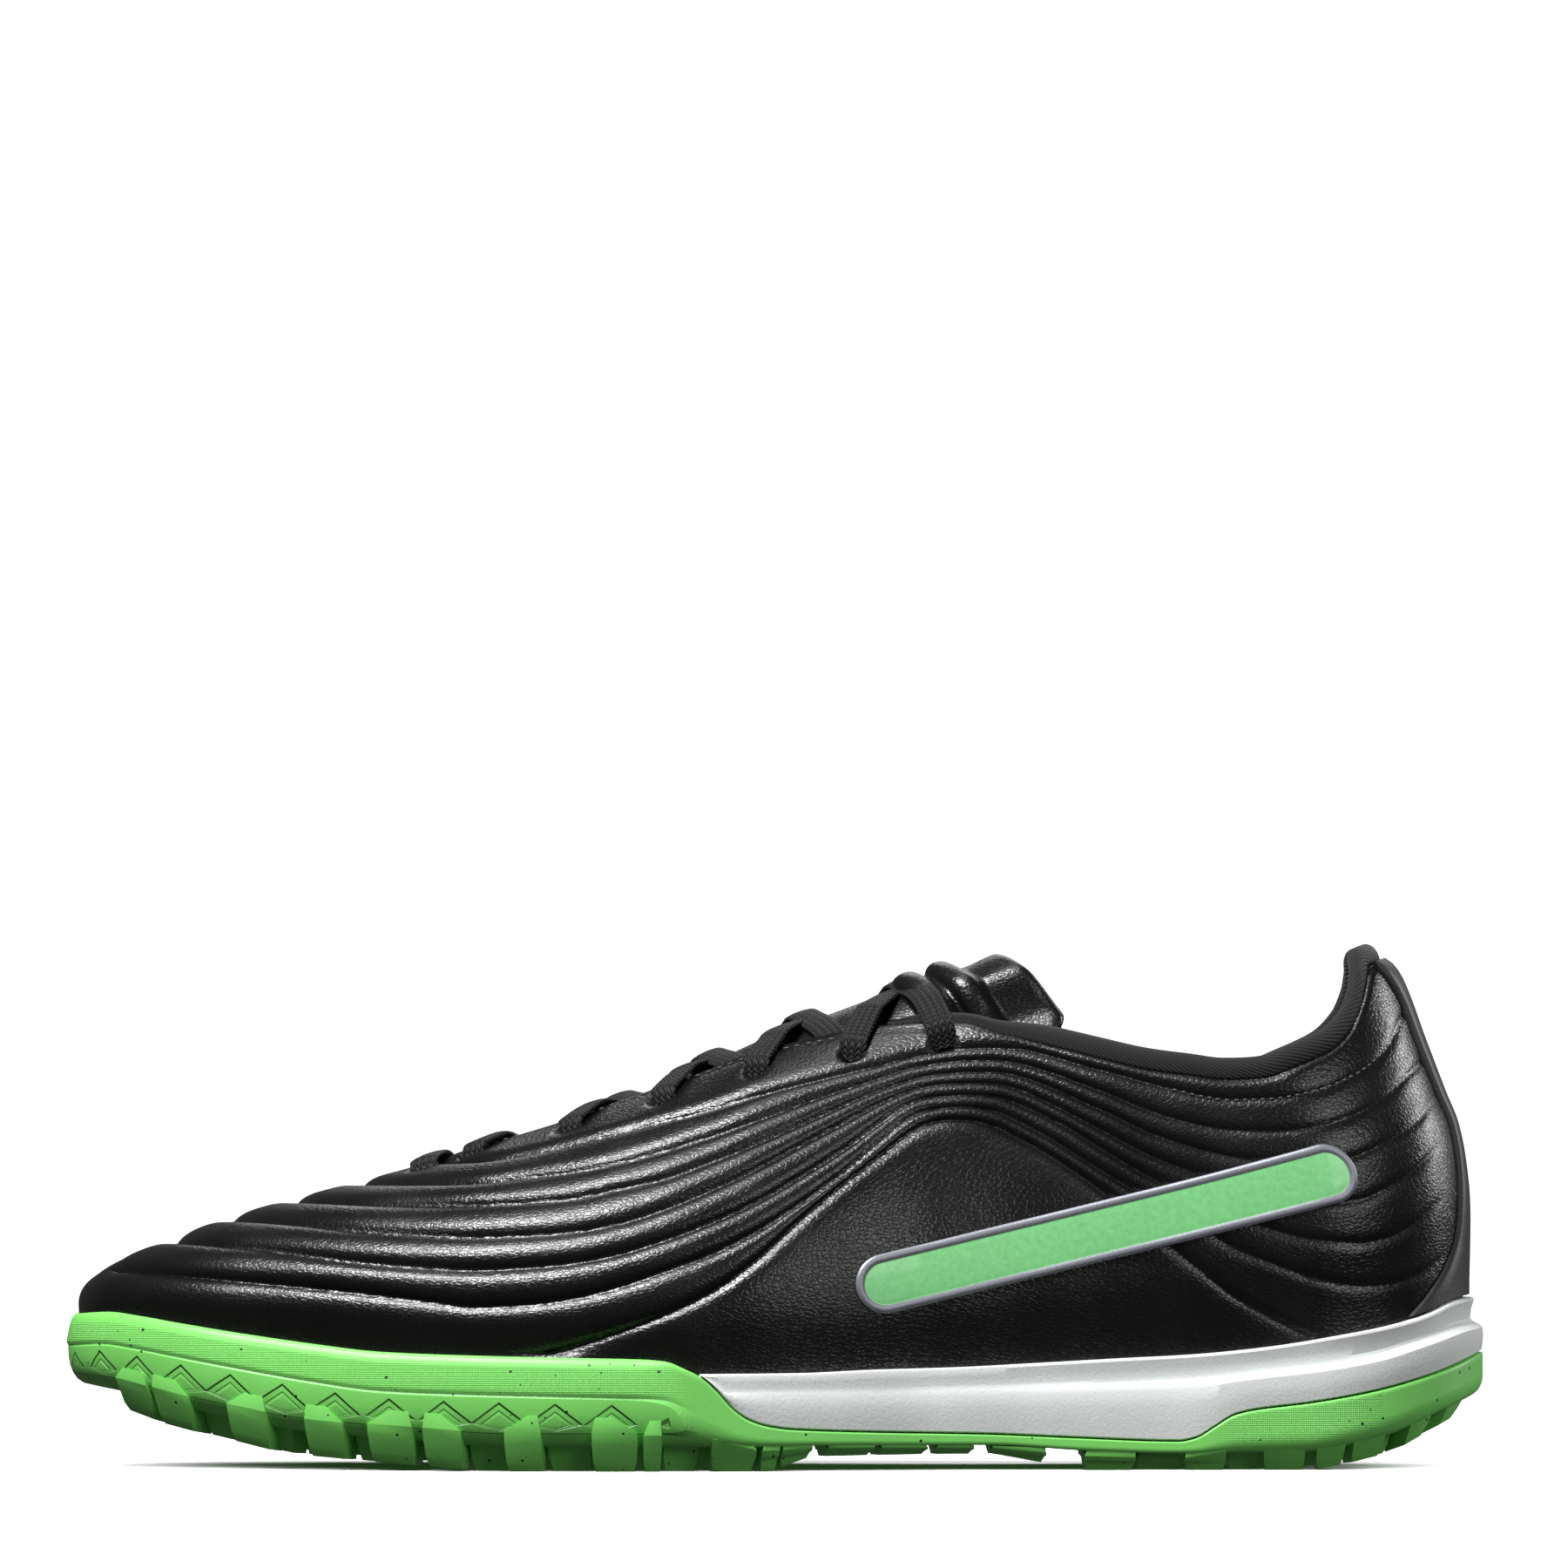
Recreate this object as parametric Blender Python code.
"""Left turf shoe: cupped rubber outsole with lugs, foam midsole, leather-like upper, flat lace.

Toe towards -X, outer (lateral) side towards -Y, floor at z = 0, metres.
Places round the shoe are given by an angle: 0 at the toe, pi / 2 at the outer side, pi at the heel.
Places along it are given by a station: 0 at the toe, 1 at the heel.
"""

import bisect
import functools
import math

import bmesh
import bpy
from mathutils import Vector

# Main sizes
SHOE_LENGTH = 0.292
BALL_WIDTH = 0.101
HEEL_STACK = 0.035           # floor to the top of the midsole at the back of the heel
UPPER_HEIGHT = 0.077         # foot bed to the leather's edge at the back of the heel
HEEL_LEAN = 0.018            # how far the heel's top edge leans towards the toe
TOE_REACH = 0.0103           # how far the toe's crest lies behind the tip of the sole
TOE_ROUND = 0.038            # length of the toe's rounding, seen from above
HEEL_ROUND = 0.036           # length of the heel's rounding, seen from above
THROAT_WIDTH = 0.037

# Walls, layers and gaps
CLEARANCE = 0.0003
WALL = 0.002
SOLE_WALL = 0.003            # rubber and foam edge that the upper sits in
FLOOR_THICKNESS = 0.003      # outsole rubber under the midsole
BULGE_INSET = 0.0024         # the upper's widest line, in from the sole's edge
SOLE_ROUND_WIDTH = 0.007
SOLE_ROUND_HEIGHT = 0.009
INSOLE_THICKNESS = 0.004
TONGUE_THICKNESS = 0.004
TONGUE_GAP = 0.0009          # tongue to the inside of the upper
TONGUE_WIDTH = 0.054
COLLAR_ROLL = 0.0043         # textile roll above the leather's edge
COLLAR_PAD = 0.0045          # thickness of the padding inside the wall
COUNTER_THICKNESS = 0.001
PATCH_THICKNESS = 0.0008
PATCH_LENGTH = 0.106
PATCH_WIDTH = 0.012

# Lace and eyelets
EYELET_DIAMETER = 0.005
LACE_WIDTH = 0.006
LACE_THICKNESS = 0.0013

# Lugs
LUG_REACH = 0.012            # from the sole's edge to the inner face of an edge lug
LUG_RISE = 0.009             # how far an edge lug climbs the side
INNER_LUG_LENGTH = 0.009
INNER_LUG_WIDTH = 0.0075

# Mesh density
STATIONS = 70
WALL_ROWS = 8                # rows between the widest line and the top edge
PAD_ROWS = 3                 # rows of those that the collar's padding covers


class Table:
    """Named columns against a station, read through a smooth curve that never overshoots a row."""

    def __init__(self, names, *rows):
        self.stations = [row[0] for row in rows]
        self.columns = {}
        for index, name in enumerate(names[1:], start=1):
            values = [row[index] for row in rows]
            self.columns[name] = (values, self.slopes(values))

    def slopes(self, values):
        """Return the slope at each row, flat wherever the column turns."""
        steps = [b - a for a, b in zip(self.stations, self.stations[1:])]
        rises = [(b - a) / step for a, b, step in zip(values, values[1:], steps)]
        result = [rises[0]]
        for before, after in zip(rises, rises[1:]):
            turns = before * after <= 0.0
            result.append(0.0 if turns else 2.0 * before * after / (before + after))
        result.append(rises[-1])
        return result

    def read(self, name, station):
        """Return a column's value at a station, held constant past the ends."""
        values, slopes = self.columns[name]
        if station <= self.stations[0]:
            return values[0]
        if station >= self.stations[-1]:
            return values[-1]
        row = bisect.bisect_right(self.stations, station) - 1
        width = self.stations[row + 1] - self.stations[row]
        t = (station - self.stations[row]) / width
        start = values[row] * (1.0 + 2.0 * t) * (1.0 - t) ** 2
        end = values[row + 1] * t * t * (3.0 - 2.0 * t)
        bend = slopes[row] * t * (1.0 - t) ** 2 - slopes[row + 1] * t * t * (1.0 - t)
        return start + end + bend * width


# Sole seen from above: centre and half width as shares of BALL_WIDTH, edge as a share of SOLE_WALL
OUTLINE = Table(
    ("station", "centre", "half_width", "seat"),
    (0.000, 0.066, 0.300, 0.73),
    (0.034, 0.060, 0.318, 0.76),
    (0.068, 0.053, 0.342, 0.82),
    (0.103, 0.045, 0.367, 0.90),
    (0.130, 0.037, 0.386, 0.95),
    (0.171, 0.024, 0.417, 1.00),
    (0.240, 0.006, 0.461, 1.00),
    (0.308, -0.008, 0.492, 1.00),
    (0.360, -0.020, 0.500, 1.00),
    (0.411, -0.036, 0.489, 1.00),
    (0.479, -0.056, 0.449, 1.00),
    (0.548, -0.069, 0.389, 1.02),
    (0.616, -0.064, 0.343, 1.06),
    (0.685, -0.050, 0.327, 1.12),
    (0.753, -0.029, 0.332, 1.20),
    (0.822, -0.010, 0.345, 1.27),
    (0.873, -0.003, 0.348, 1.27),
    (0.925, 0.000, 0.345, 1.27),
    (1.000, 0.000, 0.342, 1.27),
)

# Sole seen from the side: heights as shares of HEEL_STACK, floor as a share of FLOOR_THICKNESS
SOLE = Table(
    ("station", "ground", "base", "bed", "floor"),
    (0.00, 0.400, 0.500, 0.729, 1.00),
    (0.04, 0.357, 0.451, 0.671, 1.00),
    (0.08, 0.251, 0.371, 0.600, 1.00),
    (0.12, 0.177, 0.303, 0.543, 1.00),
    (0.16, 0.103, 0.240, 0.494, 1.00),
    (0.20, 0.069, 0.206, 0.457, 1.00),
    (0.25, 0.037, 0.174, 0.429, 1.00),
    (0.32, 0.000, 0.143, 0.406, 1.00),
    (0.40, 0.000, 0.143, 0.437, 1.00),
    (0.44, 0.000, 0.143, 0.477, 0.95),
    (0.49, 0.000, 0.143, 0.514, 0.75),
    (0.53, 0.086, 0.149, 0.514, 0.67),
    (0.65, 0.097, 0.149, 0.523, 0.60),
    (0.72, 0.000, 0.114, 0.549, 0.60),
    (0.78, 0.000, 0.100, 0.571, 0.60),
    (0.87, 0.000, 0.106, 0.629, 0.67),
    (0.90, 0.040, 0.143, 0.663, 0.67),
    (0.93, 0.103, 0.206, 0.700, 0.67),
    (0.96, 0.229, 0.314, 0.743, 0.67),
    (1.00, 0.400, 0.457, 0.800, 0.67),
)

# Top edge of the green rubber, as a share of HEEL_STACK
LIP = Table(
    ("station", "height"),
    (0.000, 0.900),
    (0.028, 0.914),
    (0.052, 0.891),
    (0.077, 0.857),
    (0.126, 0.794),
    (0.175, 0.737),
    (0.224, 0.691),
    (0.274, 0.674),
    (0.347, 0.660),
    (0.409, 0.649),
    (0.426, 0.637),
    (0.438, 0.597),
    (0.450, 0.546),
    (0.461, 0.463),
    (0.471, 0.369),
    (0.483, 0.297),
    (0.498, 0.257),
    (0.514, 0.240),
    (0.569, 0.223),
    (0.648, 0.209),
    (0.711, 0.186),
    (0.782, 0.166),
    (0.794, 0.186),
    (0.806, 0.246),
    (0.821, 0.320),
    (0.836, 0.349),
    (0.872, 0.386),
    (0.916, 0.449),
    (0.961, 0.549),
    (1.000, 0.677),
)

# Foam side: rim, step line and the depth of the band over the step, as shares of HEEL_STACK
RIM = Table(
    ("station", "rim", "step", "recess"),
    (0.420, 0.563, 0.450, 0.006),
    (0.520, 0.569, 0.455, 0.006),
    (0.570, 0.586, 0.457, 0.006),
    (0.630, 0.600, 0.468, 0.012),
    (0.690, 0.626, 0.480, 0.020),
    (0.740, 0.649, 0.495, 0.028),
    (0.790, 0.671, 0.513, 0.037),
    (0.840, 0.711, 0.557, 0.045),
    (0.890, 0.774, 0.605, 0.052),
    (0.925, 0.823, 0.660, 0.057),
    (0.950, 0.869, 0.724, 0.060),
    (0.965, 0.909, 0.765, 0.061),
    (0.985, 0.977, 0.820, 0.063),
    (1.000, 1.000, 0.843, 0.063),
)

# Upper's cross-sections: heights over the foot bed as shares of UPPER_HEIGHT, ridge as a share of
# BALL_WIDTH, fullness is the power of the rounded section, outer and inner are shares of BULGE_INSET
# on each side, below zero where the upper overhangs the sole's waist
UPPER = Table(
    ("station", "crest", "bulge", "ridge", "fullness", "outer", "inner"),
    (0.000, 0.194, 0.104, 0.059, 2.00, 1.0, 1.0),
    (0.025, 0.262, 0.124, 0.060, 2.12, 1.0, 1.0),
    (0.050, 0.305, 0.144, 0.062, 2.20, 1.0, 1.0),
    (0.075, 0.350, 0.164, 0.063, 2.22, 1.0, 1.0),
    (0.100, 0.393, 0.182, 0.064, 2.20, 1.0, 1.0),
    (0.150, 0.478, 0.206, 0.067, 2.15, 1.0, 1.0),
    (0.200, 0.550, 0.221, 0.068, 2.10, 1.0, 1.0),
    (0.250, 0.613, 0.228, 0.064, 2.05, 1.0, 1.0),
    (0.300, 0.683, 0.229, 0.056, 2.00, 1.0, 1.0),
    (0.350, 0.743, 0.222, 0.044, 1.97, 1.0, 1.0),
    (0.400, 0.806, 0.208, 0.030, 1.93, 1.0, 0.8),
    (0.450, 0.862, 0.190, 0.014, 1.89, 1.0, 0.5),
    (0.500, 0.935, 0.182, 0.002, 1.85, 1.0, 0.0),
    (0.550, 1.005, 0.192, -0.006, 1.83, 1.0, -0.7),
    (0.600, 1.075, 0.206, -0.010, 1.81, 1.0, -1.2),
    (0.650, 1.145, 0.220, -0.010, 1.80, 1.0, -1.2),
    (0.700, 1.203, 0.235, -0.008, 1.82, 1.0, -0.7),
    (0.750, 1.265, 0.257, -0.004, 1.86, 1.0, 0.0),
    (0.800, 1.306, 0.281, 0.000, 1.90, 1.0, 0.6),
    (0.850, 1.331, 0.304, 0.000, 1.94, 1.0, 1.0),
    (0.900, 1.322, 0.322, 0.000, 1.97, 1.1, 1.1),
    (0.950, 1.308, 0.320, 0.000, 1.99, 1.4, 1.4),
    (1.000, 1.286, 0.312, 0.000, 2.00, 1.6, 1.6),
)

# Throat: half gap from the ridge line, as a share of THROAT_WIDTH
THROAT = Table(
    ("station", "half_gap"),
    (0.284, 0.000),
    (0.288, 0.081),
    (0.300, 0.122),
    (0.330, 0.176),
    (0.370, 0.243),
    (0.420, 0.297),
    (0.500, 0.378),
    (0.570, 0.432),
    (0.630, 0.500),
)

# Leather's top edge round the ankle, over the foot bed as a share of UPPER_HEIGHT
COLLAR_EDGE = Table(
    ("station", "height"),
    (0.600, 0.943),
    (0.630, 0.948),
    (0.668, 0.918),
    (0.700, 0.882),
    (0.730, 0.847),
    (0.762, 0.813),
    (0.797, 0.790),
    (0.833, 0.768),
    (0.865, 0.762),
    (0.893, 0.775),
    (0.928, 0.803),
    (0.948, 0.842),
    (0.964, 0.897),
    (0.975, 0.948),
    (0.989, 0.995),
    (1.000, 1.000),
)

# Heel's lean by height over the bed (share of UPPER_HEIGHT), as a share of HEEL_LEAN
LEAN = Table(
    ("height", "lean"),
    (0.310, 0.000),
    (0.356, 0.006),
    (0.461, 0.055),
    (0.552, 0.139),
    (0.630, 0.278),
    (0.714, 0.422),
    (0.795, 0.561),
    (0.879, 0.700),
    (0.948, 0.839),
    (1.000, 1.000),
)

# Back panel: reach forwards from the heel, by height, as a share of SHOE_LENGTH
COUNTER = Table(
    ("height", "reach"),
    (0.00, 0.0490),
    (0.05, 0.0320),
    (0.10, 0.0190),
    (0.17, 0.0110),
    (0.26, 0.0079),
    (0.37, 0.0055),
    (0.50, 0.0046),
    (0.70, 0.0055),
    (0.85, 0.0060),
    (1.00, 0.0110),
)

# Tongue: half width as a share of TONGUE_WIDTH, thickness as a share of TONGUE_THICKNESS
TONGUE = Table(
    ("station", "half_width", "thickness"),
    (0.262, 0.20, 0.45),
    (0.300, 0.26, 0.50),
    (0.400, 0.37, 0.80),
    (0.500, 0.43, 1.00),
    (0.600, 0.48, 1.00),
    (0.640, 0.46, 1.00),
    (0.720, 0.43, 0.60),
)

# Seven eyelets a side: station and distance from the ridge as a share of THROAT_WIDTH
EYELETS = (
    (0.253, 0.351),
    (0.286, 0.330),
    (0.355, 0.500),
    (0.421, 0.550),
    (0.487, 0.580),
    (0.555, 0.595),
    (0.620, 0.590),
)

# Edge lugs: first and last station, number a side, share of the pitch that is rubber
LUG_ZONES = (
    (0.058, 0.500, 9, 0.60),
    (0.507, 0.702, 5, 0.84),
    (0.716, 0.988, 7, 0.58),
)

# Rows of lugs inside the edge: station and places across, as shares of the room there
INNER_LUGS = (
    (0.100, (0.0,)),
    (0.145, (-0.55, 0.55)),
    (0.190, (-0.80, 0.0, 0.80)),
    (0.235, (-0.45, 0.45)),
    (0.280, (-0.85, 0.0, 0.85)),
    (0.325, (-0.45, 0.45)),
    (0.370, (-0.85, 0.0, 0.85)),
    (0.415, (-0.45, 0.45)),
    (0.460, (-0.80, 0.0, 0.80)),
    (0.745, (-0.60, 0.60)),
    (0.790, (0.0,)),
    (0.835, (-0.60, 0.60)),
    (0.880, (0.0,)),
)

# Stations where the rubber's edge or the foam's side turns sharply
SOLE_TURNS = (0.426, 0.438, 0.450, 0.461, 0.466, 0.471, 0.483, 0.498, 0.782, 0.794, 0.806, 0.821, 0.836)
THROAT_TURNS = (0.284, 0.288, 0.300)

TOE_POWER = 2.2
HEEL_POWER = 2.1
TOE_FADE = 0.12              # station by which the toe's reach has faded
LEAN_START, LEAN_FULL = 0.75, 0.92
COLLAR_START = 0.645         # station where the textile collar begins on each side
TONGUE_START = 0.262
TONGUE_END = 0.660           # at the tongue's middle
TONGUE_SWEEP = 0.062         # how much further back its corners end
PATCH_CENTRE = (0.736, 0.385)    # station, and height over the bed as a share of UPPER_HEIGHT
PATCH_TILT = math.radians(13.7)


def smooth(low, high, value):
    """Return a soft step from 0 at low to 1 at high."""
    t = min(1.0, max(0.0, (value - low) / (high - low)))
    return t * t * (3.0 - 2.0 * t)


def mix(start, end, share):
    """Return the value at a share of the way from start to end."""
    return start + (end - start) * share


def station_of(angle):
    """Return the station at an angle round the shoe."""
    return 0.5 - 0.5 * math.cos(angle)


def angle_of(station, side):
    """Return the angle at a station on the outer (side -1) or inner (side 1) edge."""
    angle = math.acos(1.0 - 2.0 * min(1.0, max(0.0, station)))
    return angle if side < 0 else 2.0 * math.pi - angle


def angles(count, turns):
    """Return angles round the whole outline, evenly spaced and at both sides of each turn."""
    listed = [math.pi * 2.0 * index / count for index in range(count // 2 + 1)]
    extra = [angle_of(station, -1) for station in turns]
    kept = [a for a in listed if all(abs(a - e) > 0.25 * math.pi / count for e in extra)]
    half = sorted(kept + extra)
    return half + [2.0 * math.pi - a for a in reversed(half[:-1])]


def x_at(station):
    """Return the length coordinate of a station."""
    return (station - 0.5) * SHOE_LENGTH


def station_at(x):
    """Return the station of a length coordinate."""
    return x / SHOE_LENGTH + 0.5


def rounding(station):
    """Return how much of its half width the outline keeps near the toe and heel."""
    toe = min(1.0, station * SHOE_LENGTH / TOE_ROUND)
    heel = min(1.0, (1.0 - station) * SHOE_LENGTH / HEEL_ROUND)
    front = (1.0 - (1.0 - toe) ** TOE_POWER) ** (1.0 / TOE_POWER)
    back = (1.0 - (1.0 - heel) ** HEEL_POWER) ** (1.0 / HEEL_POWER)
    return front * back


def edge_y(station, side):
    """Return the sole edge's place across, before the shoe is centred."""
    half = OUTLINE.read("half_width", station) * rounding(station)
    return (OUTLINE.read("centre", station) + side * half) * BALL_WIDTH


def middle():
    """Return the middle of the outline's full width, which becomes y = 0."""
    stations = [index / 400.0 for index in range(401)]
    low = min(edge_y(s, -1) for s in stations)
    high = max(edge_y(s, 1) for s in stations)
    return 0.5 * (low + high)


CENTRE_Y = middle()


def edge(angle):
    """Return the sole's outermost edge in plan."""
    station = station_of(angle)
    side = -1 if math.sin(angle) > 0.0 else 1
    return Vector((x_at(station), edge_y(station, side) - CENTRE_Y))


def outline(angle, inset):
    """Return the plan point at an inset from the sole's edge."""
    along = edge(angle + 1e-4) - edge(angle - 1e-4)
    outward = Vector((along.y, -along.x)).normalized()
    return edge(angle) - outward * inset


def sole_height(name, x):
    """Return a height of the sole in metres at a length coordinate."""
    return SOLE.read(name, station_at(x)) * HEEL_STACK


def floor_top(x):
    """Return the height of the outsole's inner floor."""
    return sole_height("base", x) + SOLE.read("floor", station_at(x)) * FLOOR_THICKNESS


def seat(angle):
    """Return the thickness of the sole's edge beside the upper."""
    return OUTLINE.read("seat", station_of(angle)) * SOLE_WALL


def lip_height(angle):
    """Return the height of the rubber's top edge."""
    return LIP.read("height", station_of(angle)) * HEEL_STACK


def hold_height(angle):
    """Return the height up to which the sole's edge holds the upper."""
    station = station_of(angle)
    return max(LIP.read("height", station), RIM.read("rim", station)) * HEEL_STACK


def plan_point(angle, inset, height):
    """Return a point at an inset from the edge, at a height given by a function of x."""
    flat = outline(angle, inset)
    return Vector((flat.x, flat.y, height(flat.x)))


def level_point(angle, inset, z):
    """Return a point at an inset from the edge and a fixed height."""
    flat = outline(angle, inset)
    return Vector((flat.x, flat.y, z))


# The upper's surface


def bulge_inset(angle):
    """Return how far in from the sole's edge the upper's widest line lies."""
    return BULGE_INSET * UPPER.read("inner" if math.sin(angle) < 0.0 else "outer", station_of(angle))


@functools.lru_cache(maxsize=None)
def section(angle):
    """Return what the upper's cross-section needs at an angle round the shoe."""
    station = station_of(angle)
    x = x_at(station)
    bed = sole_height("bed", x)
    widest = outline(angle, bulge_inset(angle))
    ridge = UPPER.read("ridge", station) * BALL_WIDTH - CENTRE_Y
    crest = bed + UPPER.read("crest", station) * UPPER_HEIGHT
    bulge = bed + UPPER.read("bulge", station) * UPPER_HEIGHT
    forward = TOE_REACH * (1.0 - smooth(0.0, TOE_FADE, station))
    back = HEEL_LEAN * smooth(LEAN_START, LEAN_FULL, station)
    return x, bed, widest, ridge, crest, bulge, UPPER.read("fullness", station), forward, back


def over_point(angle, share):
    """Return the upper's point whose distance from the ridge is a share of the widest line's."""
    x, bed, widest, ridge, crest, bulge, fullness, forward, back = section(angle)
    share = min(1.0, max(0.0, share))
    z = mix(bulge, crest, (1.0 - share ** fullness) ** (1.0 / fullness))
    lean = back * LEAN.read("lean", (z - bed) / UPPER_HEIGHT)
    place = mix(x + forward, widest.x, share) - lean
    return Vector((place, mix(ridge, widest.y, share), z))


def foot_height(angle):
    """Return the height of the upper's lower edge."""
    return sole_height("bed", outline(angle, seat(angle) + CLEARANCE).x) + CLEARANCE


def under_point(angle, share):
    """Return the upper's point under the widest line: share 0.5 at the sole's rim, 1 at the bed."""
    bulge = section(angle)[5]
    hold = hold_height(angle)
    if share < 0.5:
        z = mix(bulge, hold, 2.0 * share)
    else:
        z = mix(hold, foot_height(angle), 2.0 * share - 1.0)
    held = seat(angle) + CLEARANCE
    return level_point(angle, mix(held, bulge_inset(angle), smooth(hold, bulge, z)), z)


def point_at_height(angle, z):
    """Return the upper's outer point at a height."""
    bulge = section(angle)[5]
    if z >= bulge:
        return over_point(angle, share_at_height(angle, z))
    hold = hold_height(angle)
    if z >= hold:
        return under_point(angle, 0.5 * (bulge - z) / (bulge - hold))
    return under_point(angle, 0.5 + 0.5 * (hold - z) / (hold - foot_height(angle)))


def share_at_height(angle, z):
    """Return the share from the ridge at which the upper reaches a height over its widest line."""
    x, bed, widest, ridge, crest, bulge, fullness, forward, back = section(angle)
    rise = min(1.0, max(0.0, (z - bulge) / (crest - bulge)))
    return (1.0 - rise ** fullness) ** (1.0 / fullness)


def turn_of(angle, share):
    """Return the section angle (0 at the widest line, pi / 2 at the ridge) of a share."""
    return math.acos(min(1.0, share) ** (section(angle)[6] / 2.0))


def half_gap(station):
    """Return the throat's half width at a station."""
    return THROAT.read("half_gap", station) * THROAT_WIDTH


@functools.lru_cache(maxsize=None)
def edge_turn(angle):
    """Return the section angle of the upper's top edge."""
    station = station_of(angle)
    x, bed, widest, ridge = section(angle)[:4]
    throat = turn_of(angle, half_gap(station) / max(1e-6, abs(widest.y - ridge)))
    top = bed + COLLAR_EDGE.read("height", station) * UPPER_HEIGHT
    collar = turn_of(angle, share_at_height(angle, top))
    return mix(throat, collar, smooth(0.60, 0.66, station))


def shell_point(angle, level):
    """Return the upper's outer surface: level 1 top edge, 0 widest line, -1 foot bed."""
    if level < 0.0:
        return under_point(angle, -level)
    turn = level * edge_turn(angle)
    fullness = section(angle)[6]
    return over_point(angle, math.cos(turn) ** (2.0 / fullness) if turn < math.pi / 2 - 1e-9 else 0.0)


def lifted(surface, a, b, lift, steps=(1e-3, 1e-3)):
    """Return a surface's point moved outwards along its normal."""
    da, db = steps
    across = surface(a + da, b) - surface(a - da, b)
    up = surface(a, b + db) - surface(a, b - db)
    return surface(a, b) + across.cross(up).normalized() * lift


def shell_lifted(angle, level, lift):
    """Return the upper's surface moved outwards by a lift."""
    return lifted(shell_point, angle, min(level, 0.999), lift) + (
        shell_point(angle, level) - shell_point(angle, min(level, 0.999))
    )


def saddle_point(station, offset):
    """Return the closed surface over the instep at an offset from the ridge, throat ignored."""
    angle = angle_of(station, -1 if offset < 0.0 else 1)
    reach = abs(section(angle)[2].y - section(angle)[3])
    return over_point(angle, abs(offset) / reach)


def saddle_lifted(station, offset, lift):
    """Return the closed instep surface moved outwards by a lift."""
    return lifted(saddle_point, station, offset, lift, (2e-3, 5e-4))


def side_lifted(station, height, lift):
    """Return the outer side's surface at a station and a height, moved outwards."""
    def surface(place, z):
        return point_at_height(angle_of(place, -1), z)
    return lifted(surface, station, height, lift, (2e-3, 5e-4))


# Building blocks


def sheet(bm, columns, rows, place):
    """Add a grid to a mesh, each vertex put where place(column, row) says."""
    grid = bmesh.ops.create_grid(bm, x_segments=columns, y_segments=rows, size=1.0)
    for vertex in grid["verts"]:
        column = round((vertex.co.x + 1.0) * 0.5 * columns)
        row = round((vertex.co.y + 1.0) * 0.5 * rows)
        vertex.co = place(column, row)


def finish(bm, name, material, closed=True):
    """Weld a mesh, face it outwards and make it an object."""
    bmesh.ops.remove_doubles(bm, verts=bm.verts, dist=2e-6)
    bmesh.ops.dissolve_degenerate(bm, edges=bm.edges, dist=1e-7)
    if closed:
        bmesh.ops.recalc_face_normals(bm, faces=bm.faces)
    mesh = bpy.data.meshes.new(name)
    bm.to_mesh(mesh)
    bm.free()
    mesh.shade_smooth()
    mesh.set_sharp_from_angle(angle=math.radians(40.0))
    mesh.materials.append(material)
    piece = bpy.data.objects.new(name, mesh)
    bpy.context.scene.collection.objects.link(piece)
    return piece


def helper(piece):
    """Mark an object as a cutter or a guide."""
    piece.hide_render = True
    piece.display_type = "WIRE"
    return piece


def ringed_body(name, material, around, rings):
    """Make a closed body from rings round the outline, capped across at the first and last."""
    bm = bmesh.new()
    sheet(bm, len(around), len(rings) - 1, lambda c, r: rings[r](around[c % len(around)]))
    half = len(around) // 2
    for ring in (rings[0], rings[-1]):
        sheet(bm, half, 1, lambda c, r: ring(around[c if r == 0 else -c % len(around)]))
    return finish(bm, name, material)


def block(bm, counts, place):
    """Add a closed curved block, its corner and edge points from place(u, v, w), each 0 to 1."""
    nu, nv, nw = counts
    for end in (0.0, 1.0):
        sheet(bm, nu, nv, lambda c, r: place(c / nu, r / nv, end))
        sheet(bm, nu, nw, lambda c, r: place(c / nu, end, r / nw))
        sheet(bm, nv, nw, lambda c, r: place(end, c / nv, r / nw))


def boolean(piece, operation, other):
    """Add an exact Boolean to a piece."""
    modifier = piece.modifiers.new(operation.lower(), "BOOLEAN")
    modifier.operation = operation
    modifier.solver = "EXACT"
    modifier.object = other


def plain(name, colour, roughness, metallic=0.0):
    """Make a plain material of one colour."""
    material = bpy.data.materials.new(name)
    material.use_nodes = True
    shader = material.node_tree.nodes["Principled BSDF"]
    shader.inputs["Base Color"].default_value = (*colour, 1.0)
    shader.inputs["Roughness"].default_value = roughness
    shader.inputs["Metallic"].default_value = metallic
    material.diffuse_color = (*colour, 1.0)
    return material


# Outsole


def round_size(angle):
    """Return the width and height of the rounding under the rubber's side."""
    flat = outline(angle, 0.0)
    side = lip_height(angle) - sole_height("base", flat.x)
    return min(SOLE_ROUND_WIDTH, 0.8 * side), min(SOLE_ROUND_HEIGHT, 0.9 * side)


def rounded_ring(turn):
    """Return a ring of the outsole's lower rounding, turn 0 underneath and pi / 2 at the side."""
    def ring(angle):
        width, height = round_size(angle)
        flat = outline(angle, width * (1.0 - math.sin(turn)))
        rise = height * (1.0 - math.cos(turn))
        return Vector((flat.x, flat.y, sole_height("base", flat.x) + rise))
    return ring


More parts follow.
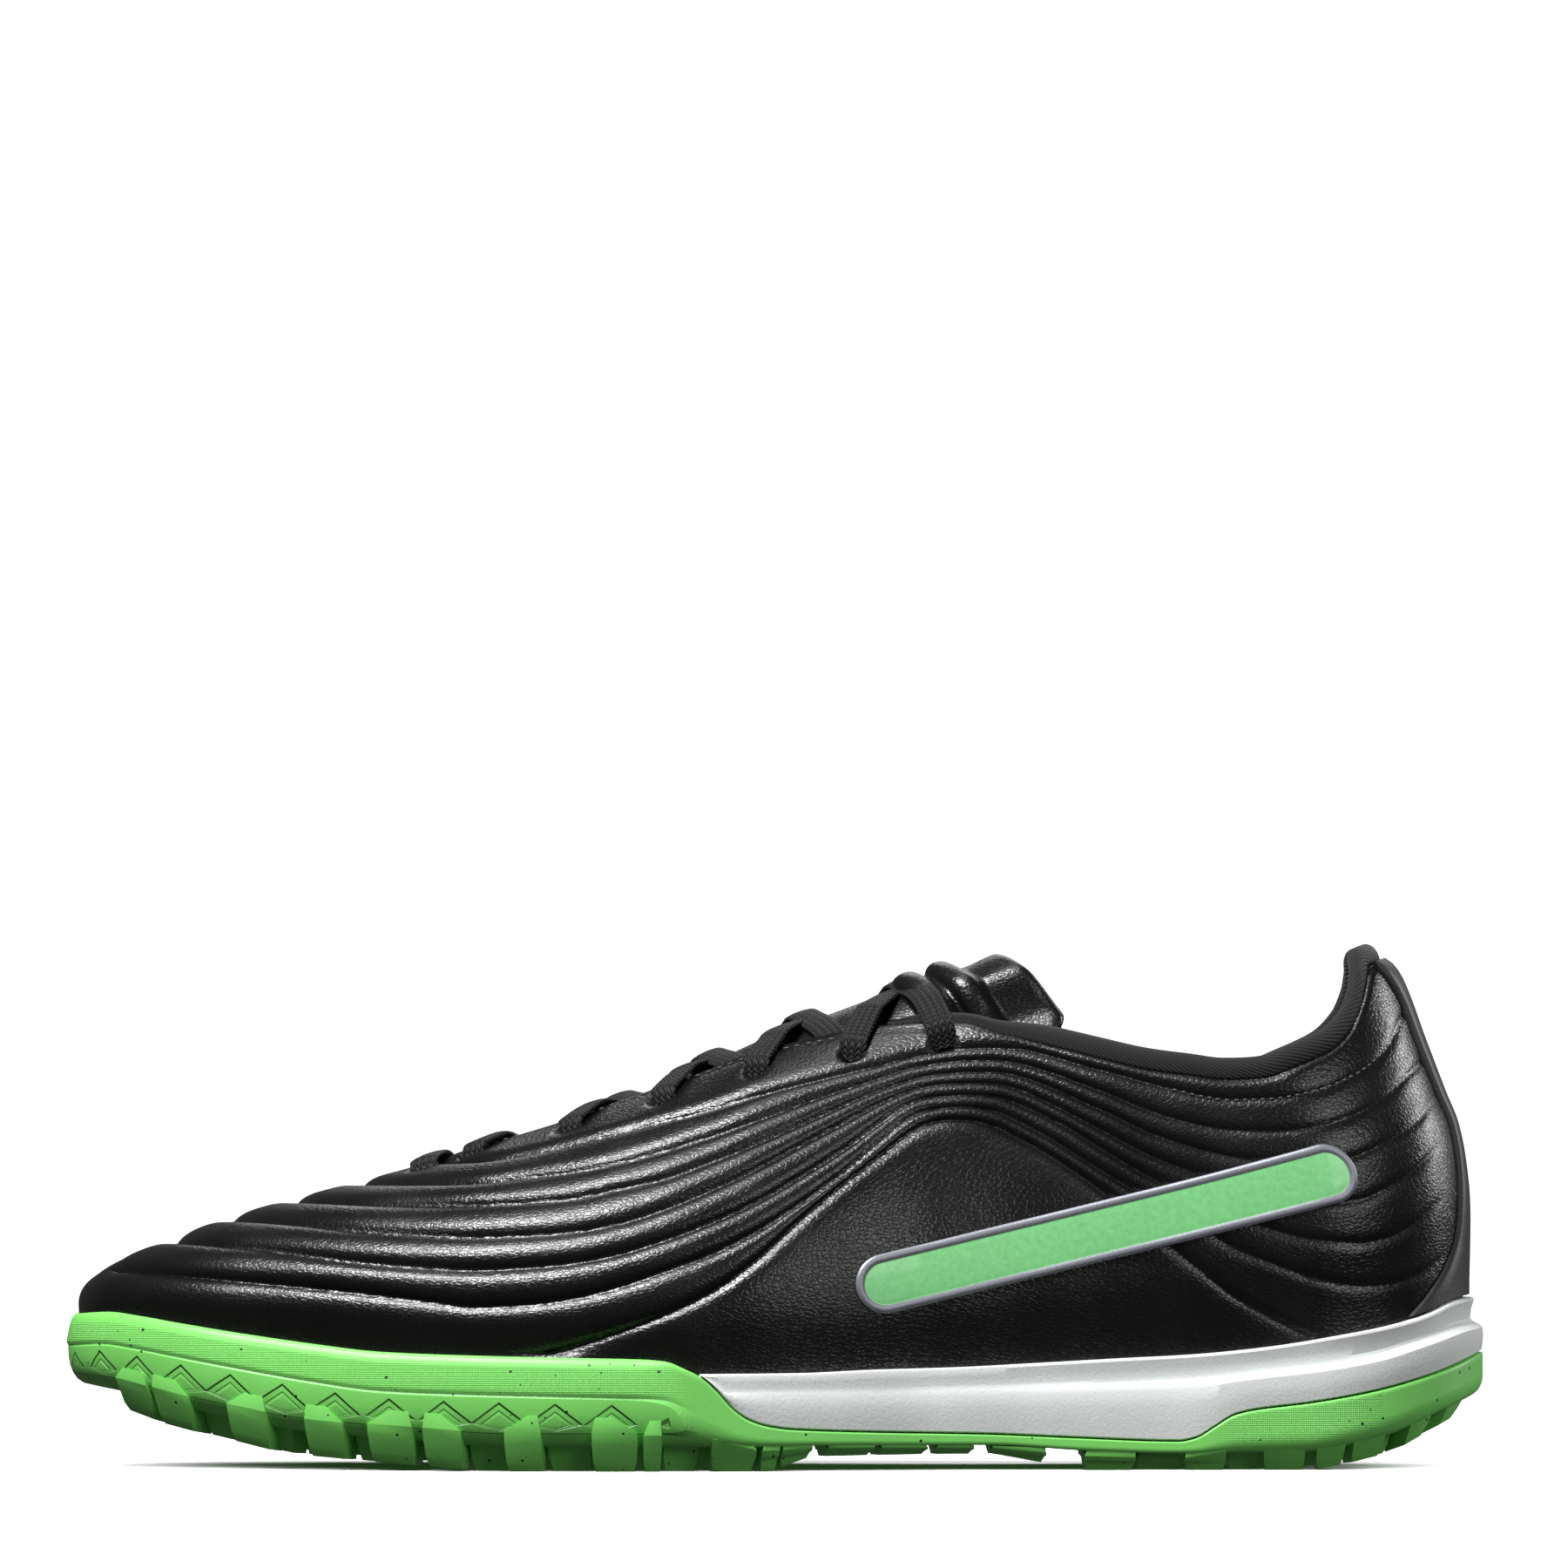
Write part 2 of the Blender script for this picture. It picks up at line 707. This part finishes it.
def edge_lug(bm, angle_start, angle_end):
    """Add one lug that wraps the sole's edge between two angles."""
    middle_angle = 0.5 * (angle_start + angle_end)
    reach = 0.5 * (angle_end - angle_start)
    lengths = (0.62, 0.82, 1.0, 1.0, 0.82)

    def place(u, v, w):
        level = round(w * 4)
        angle = middle_angle + (2.0 * u - 1.0) * reach * lengths[level]
        wall = seat(angle)
        x = outline(angle, 0.0).x
        base, lip = sole_height("base", x), lip_height(angle)
        top = min(base + LUG_RISE, mix(lip, base, 0.25))
        inset = (
            (0.17 * wall, 0.70 * wall),
            (0.20 * wall, 0.75 * wall),
            (0.40 * wall, wall),
            (0.25 * LUG_REACH, LUG_REACH),
            (0.45 * LUG_REACH, LUG_REACH),
        )[level][round(v)]
        point = outline(angle, inset)
        ground, over = sole_height("ground", point.x), sole_height("base", point.x)
        thick = floor_top(point.x) - over
        z = (
            (top, top),
            (mix(top, ground, 0.3), mix(over + 0.9 * thick, top, 0.12)),
            (mix(top, ground, 0.6), over + 0.8 * thick),
            (mix(ground, over, 0.4), over + 0.5 * thick),
            (ground, ground),
        )[level][round(v)]
        return Vector((point.x, point.y, z))

    block(bm, (1, 1, 4), place)


def inner_lug(bm, station, across, turn):
    """Add one block lug inside the edge lugs."""
    room = OUTLINE.read("half_width", station) * rounding(station) * BALL_WIDTH
    room -= LUG_REACH + 0.6 * INNER_LUG_WIDTH
    centre_y = OUTLINE.read("centre", station) * BALL_WIDTH - CENTRE_Y + across * room

    def place(u, v, w):
        size = mix(1.0, 0.8, w)
        along = (u - 0.5) * INNER_LUG_LENGTH * size
        side = (v - 0.5) * INNER_LUG_WIDTH * size
        x = x_at(station) + along * math.cos(turn) - side * math.sin(turn)
        y = centre_y + along * math.sin(turn) + side * math.cos(turn)
        top = mix(sole_height("base", x), floor_top(x), 0.5)
        return Vector((x, y, mix(top, sole_height("ground", x), w)))

    block(bm, (1, 1, 1), place)


def build_outsole(around, material):
    """Cupped rubber outsole with its lugs joined on."""
    rings = [rounded_ring(math.radians(turn)) for turn in (0.0, 30.0, 60.0, 90.0)]
    rings += [
        lambda a: level_point(a, 0.0, lip_height(a)),
        lambda a: level_point(a, seat(a), lip_height(a)),
        lambda a: plan_point(a, seat(a), floor_top),
    ]
    outsole = ringed_body("outsole", material, around, rings)
    bm = bmesh.new()
    for start, end, count, fill in LUG_ZONES:
        for side in (-1, 1):
            first, last = angle_of(start, side), angle_of(end, side)
            pitch = (last - first) / count
            for index in range(count):
                centre = first + pitch * (index + 0.5)
                edge_lug(bm, centre - 0.5 * fill * pitch, centre + 0.5 * fill * pitch)
    for row, (station, places) in enumerate(INNER_LUGS):
        for across in places:
            inner_lug(bm, station, across, math.radians(18.0 if row % 2 else -18.0))
    boolean(outsole, "UNION", helper(finish(bm, "lugs", material)))
    return outsole


# Midsole and insole


def build_midsole(around, material):
    """Foam wedge: hidden in the rubber cup at the forefoot, showing from the arch to the heel."""
    tuck = 0.0008

    def bare(angle):
        """Return how far the foam's tucked edge stands over the rubber's lip."""
        bed = sole_height("bed", outline(angle, 0.0).x)
        return bed - tuck - lip_height(angle) - CLEARANCE

    def shows(angle):
        return bare(angle) > 0.5 * FLOOR_THICKNESS

    def under(angle):
        return plan_point(angle, seat(angle) + CLEARANCE, lambda x: floor_top(x) + CLEARANCE)

    def side_ring(order):
        def ring(angle):
            station = station_of(angle)
            wall = seat(angle)
            if not shows(angle):
                clear = CLEARANCE + 0.0001 * order if bare(angle) < 0.0 else 0.0
                flat = outline(angle, wall + clear)
                bed = sole_height("bed", flat.x)
                return Vector((flat.x, flat.y, bed - tuck + 0.0001 * order))
            lip = lip_height(angle) + CLEARANCE
            rim = RIM.read("rim", station) * HEEL_STACK
            step = max(RIM.read("step", station) * HEEL_STACK, mix(lip, rim, 0.25))
            recess = RIM.read("recess", station) * HEEL_STACK
            stages = (
                (wall + CLEARANCE, lip),
                (0.1 * wall, lip),
                (0.0, mix(lip, step, 0.5)),
                (0.1 * wall, step),
                (recess + 0.1 * wall, step + 0.35 * (rim - step) * 0.5),
                (0.6 * recess + 0.1 * wall, rim),
                (wall, rim),
            )
            inset, z = stages[order]
            return level_point(angle, inset, z)
        return ring

    def bed_edge(angle):
        inset = seat(angle) + (CLEARANCE + 0.0009 if bare(angle) < 0.0 else 0.0)
        return plan_point(angle, inset, lambda x: sole_height("bed", x))

    rings = [under] + [side_ring(order) for order in range(7)] + [bed_edge]
    return ringed_body("midsole", material, around, rings)


def build_insole(around, material):
    """Thin sock liner on the foot bed, inside the upper's wall."""
    def ring(extra, height):
        def place(angle):
            inset = seat(angle) + 3.0 * CLEARANCE + WALL + extra
            return plan_point(angle, inset, lambda x: sole_height("bed", x) + height)
        return place

    thickness = INSOLE_THICKNESS
    rings = [
        ring(0.0, CLEARANCE),
        ring(0.0, CLEARANCE + 0.7 * thickness),
        ring(0.3 * thickness, CLEARANCE + thickness),
    ]
    return ringed_body("insole", material, around, rings)


# Upper and what lies on it


def build_upper(around, material):
    """Hollow upper, open at the throat, the collar and underneath, with punched eyelets."""
    levels = [-1.0, -0.5, -0.25] + [row / WALL_ROWS for row in range(WALL_ROWS + 1)]
    bm = bmesh.new()
    count = len(around)
    sheet(bm, count, len(levels) - 1, lambda c, r: shell_point(around[c % count], levels[r]))
    upper = finish(bm, "upper", material, closed=False)
    face = min(upper.data.polygons, key=lambda f: f.center.y)
    if face.normal.y > 0.0:
        upper.data.flip_normals()
    wall = upper.modifiers.new("wall", "SOLIDIFY")
    wall.thickness = WALL
    wall.offset = -1.0
    holes = bmesh.new()
    for station, distance in EYELETS:
        for side in (-1, 1):
            offset = side * distance * THROAT_WIDTH
            top = saddle_lifted(station, offset, WALL)
            foot = saddle_lifted(station, offset, -2.5 * WALL)
            turn = (top - foot).to_track_quat("Z", "Y").to_matrix().to_4x4()
            turn.translation = 0.5 * (top + foot)
            bmesh.ops.create_cone(
                holes, cap_ends=True, segments=8, radius1=0.5 * EYELET_DIAMETER,
                radius2=0.5 * EYELET_DIAMETER, depth=3.5 * WALL, matrix=turn,
            )
    boolean(upper, "DIFFERENCE", helper(finish(holes, "eyelet_punches", material)))
    return upper


def build_counter(material):
    """Back panel laid on the heel, flaring where it meets the sole."""
    def place(u, v, w):
        height = v ** 1.7
        reach = 2.0 * math.asin(math.sqrt(COUNTER.read("reach", height)))
        angle = math.pi + (2.0 * u - 1.0) * reach
        bed = section(angle)[1]
        low = hold_height(angle) + 2.0 * CLEARANCE
        edge_z = bed + COLLAR_EDGE.read("height", station_of(angle)) * UPPER_HEIGHT
        z = mix(low, edge_z - 0.05 * UPPER_HEIGHT, height)
        gap = mix(2.5, 1.5, smooth(0.10, 0.50, height)) * CLEARANCE
        return lifted(point_at_height, angle, z, gap + w * COUNTER_THICKNESS, (1e-3, 5e-4))

    bm = bmesh.new()
    block(bm, (10, 8, 1), place)
    return finish(bm, "heel_counter", material)


def build_patch(material):
    """Plain rounded bar laid on the outer side."""
    def place(u, v, w):
        along = -math.cos(math.pi * u) * 0.5 * PATCH_LENGTH
        past = max(0.0, abs(along) - 0.5 * (PATCH_LENGTH - PATCH_WIDTH))
        half = math.sqrt(max(0.0, (0.5 * PATCH_WIDTH) ** 2 - past ** 2))
        across = (2.0 * v - 1.0) * half
        station, height = PATCH_CENTRE
        x = x_at(station) + along * math.cos(PATCH_TILT) - across * math.sin(PATCH_TILT)
        z = sole_height("bed", x_at(station)) + height * UPPER_HEIGHT
        z += along * math.sin(PATCH_TILT) + across * math.cos(PATCH_TILT)
        return side_lifted(station_at(x), z, 1.5 * CLEARANCE + w * PATCH_THICKNESS)

    bm = bmesh.new()
    block(bm, (14, 2, 1), place)
    return finish(bm, "side_patch", material)


def pad_share(station):
    """Return how much of the collar's padding a station has."""
    return mix(0.25, 1.0, smooth(COLLAR_START, 0.78, station)) * mix(1.0, 0.6, smooth(0.88, 0.98, station))


def build_collar(around, material):
    """Padded textile collar that rolls over the leather's edge."""
    listed = [a for a in around if station_of(a) > COLLAR_START]

    def point(angle, order):
        pad = COLLAR_PAD * pad_share(station_of(angle))
        roll = COLLAR_ROLL * mix(0.5, 1.0, smooth(COLLAR_START, 0.70, station_of(angle)))
        behind = WALL + CLEARANCE
        if order < 5:
            top = shell_point(angle, 1.0)
            up = (top - shell_point(angle, 0.97)).normalized()
            away = (shell_lifted(angle, 1.0, 1.0) - top).normalized()
            rise, inward = (
                (CLEARANCE, 0.15 * WALL),
                (0.75 * roll, 0.25 * WALL),
                (roll, 0.8 * WALL),
                (0.6 * roll, behind + 0.6 * pad),
                (-0.2 * roll, behind + pad),
            )[order]
            return top + up * rise - away * inward
        if order == 9:
            top = shell_point(angle, 1.0)
            up = (top - shell_point(angle, 0.97)).normalized()
            away = (shell_lifted(angle, 1.0, 1.0) - top).normalized()
            return top + up * CLEARANCE - away * behind
        row, depth = (
            (1, 1.0),
            (2, 0.85),
            (PAD_ROWS, 0.25),
            (PAD_ROWS, 0.0),
        )[order - 5]
        return shell_lifted(angle, 1.0 - row / WALL_ROWS, -behind - depth * pad)

    def back(angle, order):
        row = {10: PAD_ROWS - 1, 11: 1}.get(order)
        return shell_lifted(angle, 1.0 - row / WALL_ROWS, -WALL - CLEARANCE)

    orders = [0, 1, 2, 3, 4, 5, 6, 7, 8, 10, 11, 9]

    def ring_point(column, row):
        order = orders[row % len(orders)]
        angle = listed[column]
        return back(angle, order) if order in (10, 11) else point(angle, order)

    bm = bmesh.new()
    sheet(bm, len(listed) - 1, len(orders), ring_point)
    for column in (0, len(listed) - 1):
        bridge_end(bm, [ring_point(column, row) for row in range(len(orders))])
    return finish(bm, "collar", material)


def bridge_end(bm, points):
    """Close one end of a section that doubles back, in quads between its two sides."""
    quads = (
        (6, 7, 8, 9),
        (5, 6, 9, 10),
        (4, 5, 10, 11),
        (3, 4, 11, 11),
        (0, 1, 3, 11),
        (1, 2, 3, 3),
    )
    for quad in quads:
        corners = list(dict.fromkeys(quad))
        bm.faces.new([bm.verts.new(points[index]) for index in corners])


def build_tongue(material):
    """Padded tongue under the throat, its free end curved round the ankle."""
    def place(u, v, w):
        across = 2.0 * v - 1.0
        last = TONGUE_END + TONGUE_SWEEP * abs(across) ** 1.3
        station = mix(TONGUE_START, last, u)
        side = section(angle_of(station, -1 if across < 0.0 else 1))
        room = 0.8 * abs(side[2].y - side[3])
        offset = across * min(TONGUE.read("half_width", station) * TONGUE_WIDTH, room)
        rise = 0.8 * WALL * smooth(0.60, 0.66, station) * (1.0 - across ** 2)
        tuck = COLLAR_PAD * smooth(0.58, 0.66, station) * smooth(0.40, 0.75, abs(across))
        thick = TONGUE.read("thickness", station) * TONGUE_THICKNESS
        thick *= mix(1.0, 0.45, smooth(0.7, 1.0, abs(across)))
        depth = WALL + TONGUE_GAP - rise + 1.2 * tuck
        return saddle_lifted(station, offset, -depth - w * thick)

    bm = bmesh.new()
    block(bm, (12, 8, 1), place)
    return finish(bm, "tongue", material)


# Lace


def ribbon(name, material, start, end, over, steps):
    """Make a flat strip of lace between two (station, offset) places, sunk between the throat's edges."""
    def line(u):
        station = mix(start[0], end[0], u)
        offset = mix(start[1], end[1], u)
        free = max(0.0, half_gap(station) - 0.6 * LACE_WIDTH)
        sink = min(1.15 * WALL, 0.4 * free) * max(0.0, 1.0 - (offset / max(free, 1e-6)) ** 2)
        return station, offset, 1.7 * CLEARANCE + over * math.sin(math.pi * u) - sink

    def place(u, v, w):
        station, offset, lift = line(u)
        here = saddle_lifted(station, offset, lift)
        above = saddle_lifted(station, offset, lift + 0.01)
        ahead = saddle_lifted(*line(min(1.0, u + 0.02)))
        behind = saddle_lifted(*line(max(0.0, u - 0.02)))
        normal = (above - here).normalized()
        across = normal.cross(ahead - behind).normalized()
        return here + across * (v - 0.5) * LACE_WIDTH + normal * w * LACE_THICKNESS

    bm = bmesh.new()
    block(bm, (steps, 1, 1), place)
    return finish(bm, name, material)


def eyelet_offset(index, side):
    """Return an eyelet's offset across the shoe."""
    return side * EYELETS[index][1] * THROAT_WIDTH


def build_lace(material):
    """One bar at the toe end and five crossings, each of two strips joined where they cross."""
    station = EYELETS[0][0]
    start = (station, eyelet_offset(0, -1))
    ribbon("lace_bar", material, start, (station + 0.012, eyelet_offset(0, 1)), 0.0, 6)
    for index in range(1, 6):
        strips = []
        for side in (-1, 1):
            start = (EYELETS[index][0], eyelet_offset(index, side))
            if index == 5:
                end = (EYELETS[6][0], eyelet_offset(6, -side))
            else:
                share = 0.80
                last = mix(EYELETS[index][0], EYELETS[index + 1][0], share)
                end = (last, -side * (half_gap(last) - 0.5 * LACE_WIDTH))
            over = 0.6 * LACE_THICKNESS if side > 0 else 0.0
            name = "lace_cross_%d" % index if side < 0 else "lace_over_%d" % index
            strips.append(ribbon(name, material, start, end, over, 7))
        boolean(strips[0], "UNION", helper(strips[1]))


def main():
    """Build every piece."""
    for piece in list(bpy.data.objects):
        bpy.data.objects.remove(piece)
    rubber = plain("green rubber", (0.133, 0.552, 0.091), 0.55)
    foam = plain("pale foam", (0.63, 0.68, 0.66), 0.6)
    leather = plain("black coated leather", (0.012, 0.012, 0.012), 0.38)
    panel = plain("black back panel", (0.014, 0.014, 0.014), 0.45)
    tongue = plain("black soft leather", (0.013, 0.013, 0.013), 0.42)
    textile = plain("charcoal textile", (0.02, 0.02, 0.02), 0.85)
    liner = plain("dark sock liner", (0.03, 0.03, 0.03), 0.8)
    print_film = plain("pale green film", (0.212, 0.624, 0.235), 0.45)
    braid = plain("black braid", (0.01, 0.01, 0.01), 0.7)
    sole_angles = angles(STATIONS, SOLE_TURNS)[:-1]
    upper_angles = angles(STATIONS, THROAT_TURNS)[:-1]
    build_outsole(sole_angles, rubber)
    build_midsole(sole_angles, foam)
    build_insole(angles(STATIONS, ())[:-1], liner)
    build_upper(upper_angles, leather)
    build_counter(panel)
    build_patch(print_film)
    build_tongue(tongue)
    build_collar(upper_angles, textile)
    build_lace(braid)


main()
